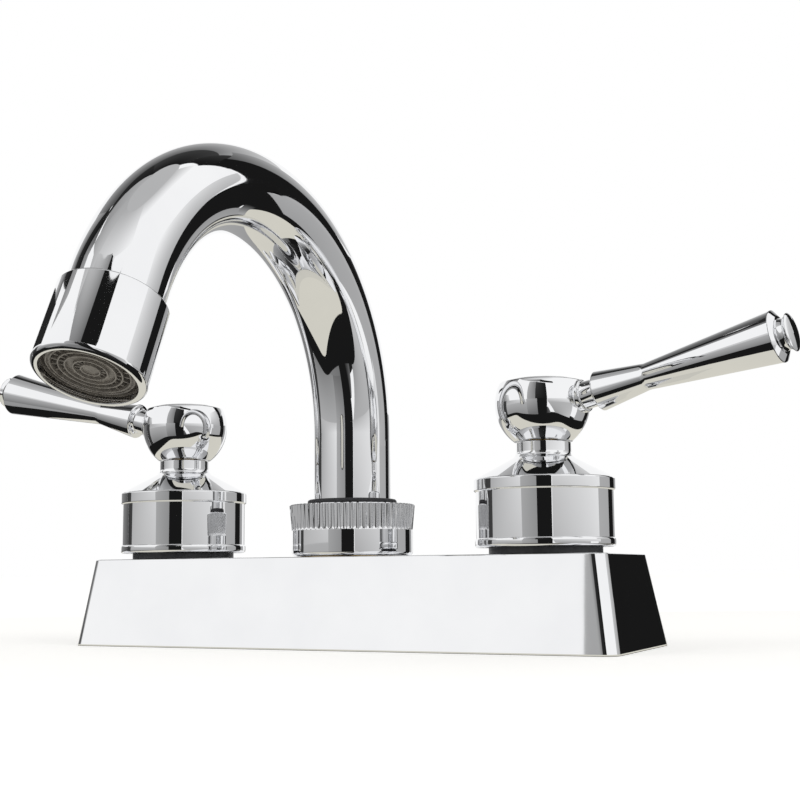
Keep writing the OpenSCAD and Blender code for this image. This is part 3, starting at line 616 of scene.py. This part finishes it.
# Grey and black cards round the object, for its polished faces; where none stands, they mirror white.
# Azimuth runs from behind the object (0) over its right side (90).
# name: foot left, foot right, head left and head right corner, each (azimuth, height, level)
cards = {
    "ground": ((0, -89, 0.015), (360, -89, 0.015), (0, -24, 0.015), (360, -24, 0.015)),
    "frontGround": ((172, -60, 0.2), (226, -60, 0.2), (168, -24, 0.18), (222, -24, 0.25)),
    "leftGround": ((224, -44, 0.4), (252, -44, 0.3), (220, -28, 0.35), (244, -28, 0.3)),
    "zenith": ((0, 74, 0.5), (360, 74, 0.5), (0, 90, 0.5), (360, 90, 0.5)),
    "ceilingRight": ((32, 64, 0.95), (120, 64, 1), (28, 75, 0.55), (120, 75, 0.6)),
    "ceilingFront": ((120, 54, 1), (212, 54, 0.62), (120, 75, 0.6), (212, 75, 0.45)),
    "ceilingLeft": ((210, 50, 0.6), (243, 50, 0.35), (210, 75, 0.45), (243, 75, 0.45)),
    "ceilingBack": ((243, 54, 0.3), (300, 66, 0.4), (243, 75, 0.45), (300, 78, 0.45)),
    "backSky": ((270, 36, 0.2), (380, 36, 0.8), (270, 60, 0.05), (380, 60, 0.15)),
    "backArchStart": ((243, 46, 0.05), (272, 56, 0.01), (243, 50, 0.15), (272, 63, 0.02)),
    "backArchLeft": ((272, 56, 0.02), (308, 59, 0.03), (272, 64, 0.02), (300, 76, 0.01)),
    "backArch": ((306, 59, 0.05), (371, 56, 0.05), (300, 76, 0.01), (371, 74, 0.01)),
    "backArchRight": ((10, 50, 0.05), (34, 40, 0.01), (10, 74, 0.01), (34, 61, 0.01)),
    "backInner": ((-1, 21, 0.7), (21, 21, 0.3), (-1, 51, 0.25), (21, 51, 0.08)),
    "backSill": ((13, 8, 0.01), (36, 6, 0.004), (9, 20.5, 0.05), (38, 16, 0.01)),
    "backLow": ((0, -14, 0.35), (13, -14, 0.3), (0, 8, 0.4), (13, 8, 0.35)),
    "backSillLow": ((12.5, -6, 0.01), (20, -6, 0.01), (12.5, 8, 0.01), (20, 8, 0.01)),
    "backRightFlag": ((15, -24, 0.01), (32, -24, 0.01), (20, 52, 0.01), (34, 52, 0.01)),
    "backFoot": ((4, -15, 0.4), (18, -21, 0.02), (4, -9, 0.4), (18, -6, 0.01)),
    "rightLowNear": ((32, -24, 0.36), (67, -30, 0.4), (32, 6, 0.42), (67, 6, 0.45)),
    "rightNear": ((34, 6, 0.42), (70, 6, 0.5), (34, 32, 0.62), (66, 32, 1)),
    "rightLow": ((82, -48, 0.7), (112, -46, 0.2), (84, 0, 0.5), (147, 0, 0.45)),
    "rightStep": ((62, 0, 0.75), (148, 0, 0.45), (62, 8, 0.95), (148, 8, 0.75)),
    "frontEdge": ((127, 44, 0.01), (166, 49, 0.01), (127, 48, 0.01), (166, 55.5, 0.01)),
    "frontEdgeLeft": ((166, 49.5, 0.12), (212, 50.5, 0.35), (166, 56, 0.3), (212, 54, 0.65)),
    "cameraUp": ((149, 8, 0.01), (177, 8, 0.02), (150, 46, 0.01), (178, 49, 0.05)),
    "cameraSideUp": ((177, 8, 0.25), (197, 8, 0.4), (178, 49, 0.2), (199, 49, 0.5)),
    "frontLow": ((165, -28, 0.15), (198, -28, 0.18), (165, 8, 0.3), (199, 8, 0.45)),
    "camera": ((150, -60, 0.01), (171, -60, 0.01), (149, 9, 0.01), (173, 9, 0.01)),
    "cameraSide": ((118, -60, 0.02), (150, -60, 0.01), (147, -12, 0.2), (150, -12, 0.02)),
    "leftLow": ((198, -28, 0.28), (260, -28, 0.15), (198, 1, 0.45), (258, 1, 0.45)),
    "leftStep": ((198, 1, 0.6), (258, 1, 0.5), (200, 8, 0.9), (256, 8, 0.4)),
    "leftEdge": ((246, 8, 0.6), (270, 4, 0.05), (252, 18, 0.8), (272, 18, 0.08)),
    "leftWedgeGrey": ((243, 43, 0.4), (257, 36, 0.3), (243, 50, 0.15), (257, 52, 0.1)),
    "leftWedge": ((255, 39, 0.01), (273, 32, 0.03), (255, 54, 0.01), (272, 54, 0.02)),
    "leftGrey": ((272, 30, 0.1), (288, 24, 0.5), (272, 50, 0.2), (288, 38, 0.4)),
    "leftDarkLine": ((270, 28.5, 0.02), (302, 15.5, 0.02), (270, 32, 0.02), (302, 19, 0.02)),
    "leftFlag": ((262, -38, 0.01), (280, -38, 0.01), (256.5, 8, 0.06), (269, 8, 0.05)),
    "leftBack": ((279, -30, 0.08), (303, -30, 0.2), (268.5, 10, 0.1), (303, 10, 0.3)),
    "backLeftLow": ((303, -26, 0.3), (345, -26, 0.35), (303, -4, 0.35), (345, 6, 0.4)),
}


def addCard(mesh, levels, footLeft, footRight, headLeft, headRight, radius):
    corners = (footLeft, footRight, headLeft, headRight)
    footLeft, footRight, headLeft, headRight = (Vector(c) for c in corners)
    spans = (footRight - footLeft, headLeft - footLeft)
    across, up = (max(4, math.ceil(span.length / studio["cardCell"])) for span in spans)
    made = bmesh.ops.create_grid(mesh, x_segments=across, y_segments=up, size=1)
    for v in made["verts"]:
        foot = footLeft.lerp(footRight, (v.co.x + 1) / 2)
        head = headLeft.lerp(headRight, (v.co.x + 1) / 2)
        azimuth, rise, v[levels] = foot.lerp(head, (v.co.y + 1) / 2)
        azimuth, rise = math.radians(azimuth), math.radians(rise)
        out = math.cos(rise)
        v.co = Vector((math.sin(azimuth) * out, math.cos(azimuth) * out, math.sin(rise))) * radius


def makeCards():
    mesh = bmesh.new()
    levels = mesh.verts.layers.float.new("level")
    for step, values in enumerate(cards.values()):
        addCard(mesh, levels, *values, studio["cardRadius"] - studio["cardGap"] * step)
    mat, tree, links, shader = glowing("greyCards", (1, 1, 1))
    level = tree.new("ShaderNodeAttribute")
    level.attribute_name = "level"
    links.new(level.outputs["Fac"], shader.inputs["Emission Strength"])
    mirroredOnly(addStagePiece("studioCards", mesh, mat))


makeFloor()
for name, values in stands.items():
    makeStand(name, *values)
makeCards()


# World: white for the camera and the polished faces, and a plain level for all other light
def makeWorld():
    world = bpy.data.worlds.new("paleStudio")
    bpy.context.scene.world = world
    world.use_nodes = True
    tree, links = world.node_tree.nodes, world.node_tree.links
    background = tree["Background"]
    background.inputs["Color"].default_value = (1, 1, 1, 1)
    path = tree.new("ShaderNodeLightPath")
    seen = path.outputs["Is Camera Ray"]
    for name in ("Is Glossy Ray", "Is Transmission Ray"):
        either = tree.new("ShaderNodeMath")
        either.operation = "MAXIMUM"
        links.new(seen, either.inputs[0])
        links.new(path.outputs[name], either.inputs[1])
        seen = either.outputs["Value"]
    links.new(addRange(tree, links, seen, studio["plainLevel"], 1.0), background.inputs["Strength"])


makeWorld()

# name: place and size in metres, power in watts
softLights = {
    "leftLamp": ((-0.9, -0.9, 0.9), 0.9, 6.0),
    "rightLamp": ((1.1, -0.3, 0.8), 0.9, 5.0),
}


def makeLight(name, position, size, power):
    lamp = bpy.data.lights.new(name, "AREA")
    lamp.shape = "SQUARE"
    lamp.size = size
    lamp.energy = power
    obj = bpy.data.objects.new(name, lamp)
    obj.location = position
    obj.rotation_euler = (-Vector(position)).to_track_quat("-Z", "Y").to_euler()
    obj.visible_glossy = False
    bpy.context.scene.collection.objects.link(obj)


for name, values in softLights.items():
    makeLight(name, *values)
print("studio done")


# Camera, at the place solved from the photograph
cameraPlace = {"yaw": 25.495, "pitch": 7.525, "roll": -0.501, "lens": 58.157, "sensor": 36,
               "nearest": 0.01, "farthest": 100, "x": 0.15084, "y": -0.28795, "z": 0.01847}


def makeCamera():
    c = cameraPlace
    yaw, pitch, roll = (math.radians(c[key]) for key in ("yaw", "pitch", "roll"))
    level = math.cos(pitch)
    forward = Vector((-math.sin(yaw) * level, math.cos(yaw) * level, math.sin(pitch)))
    right = Vector((math.cos(yaw), math.sin(yaw), 0))
    up = right.cross(forward)
    rolledRight = math.cos(roll) * right + math.sin(roll) * up
    rolledUp = -math.sin(roll) * right + math.cos(roll) * up
    lens = bpy.data.cameras.new("photoCamera")
    lens.lens = c["lens"]
    lens.sensor_width = c["sensor"]
    lens.clip_start = c["nearest"]
    lens.clip_end = c["farthest"]
    camera = bpy.data.objects.new("photoCamera", lens)
    turned = Matrix((rolledRight, rolledUp, -forward)).transposed().to_4x4()
    camera.matrix_world = Matrix.Translation((c["x"], c["y"], c["z"])) @ turned
    bpy.context.scene.collection.objects.link(camera)
    bpy.context.scene.camera = camera


makeCamera()
bpy.context.scene.view_settings.view_transform = "Standard"
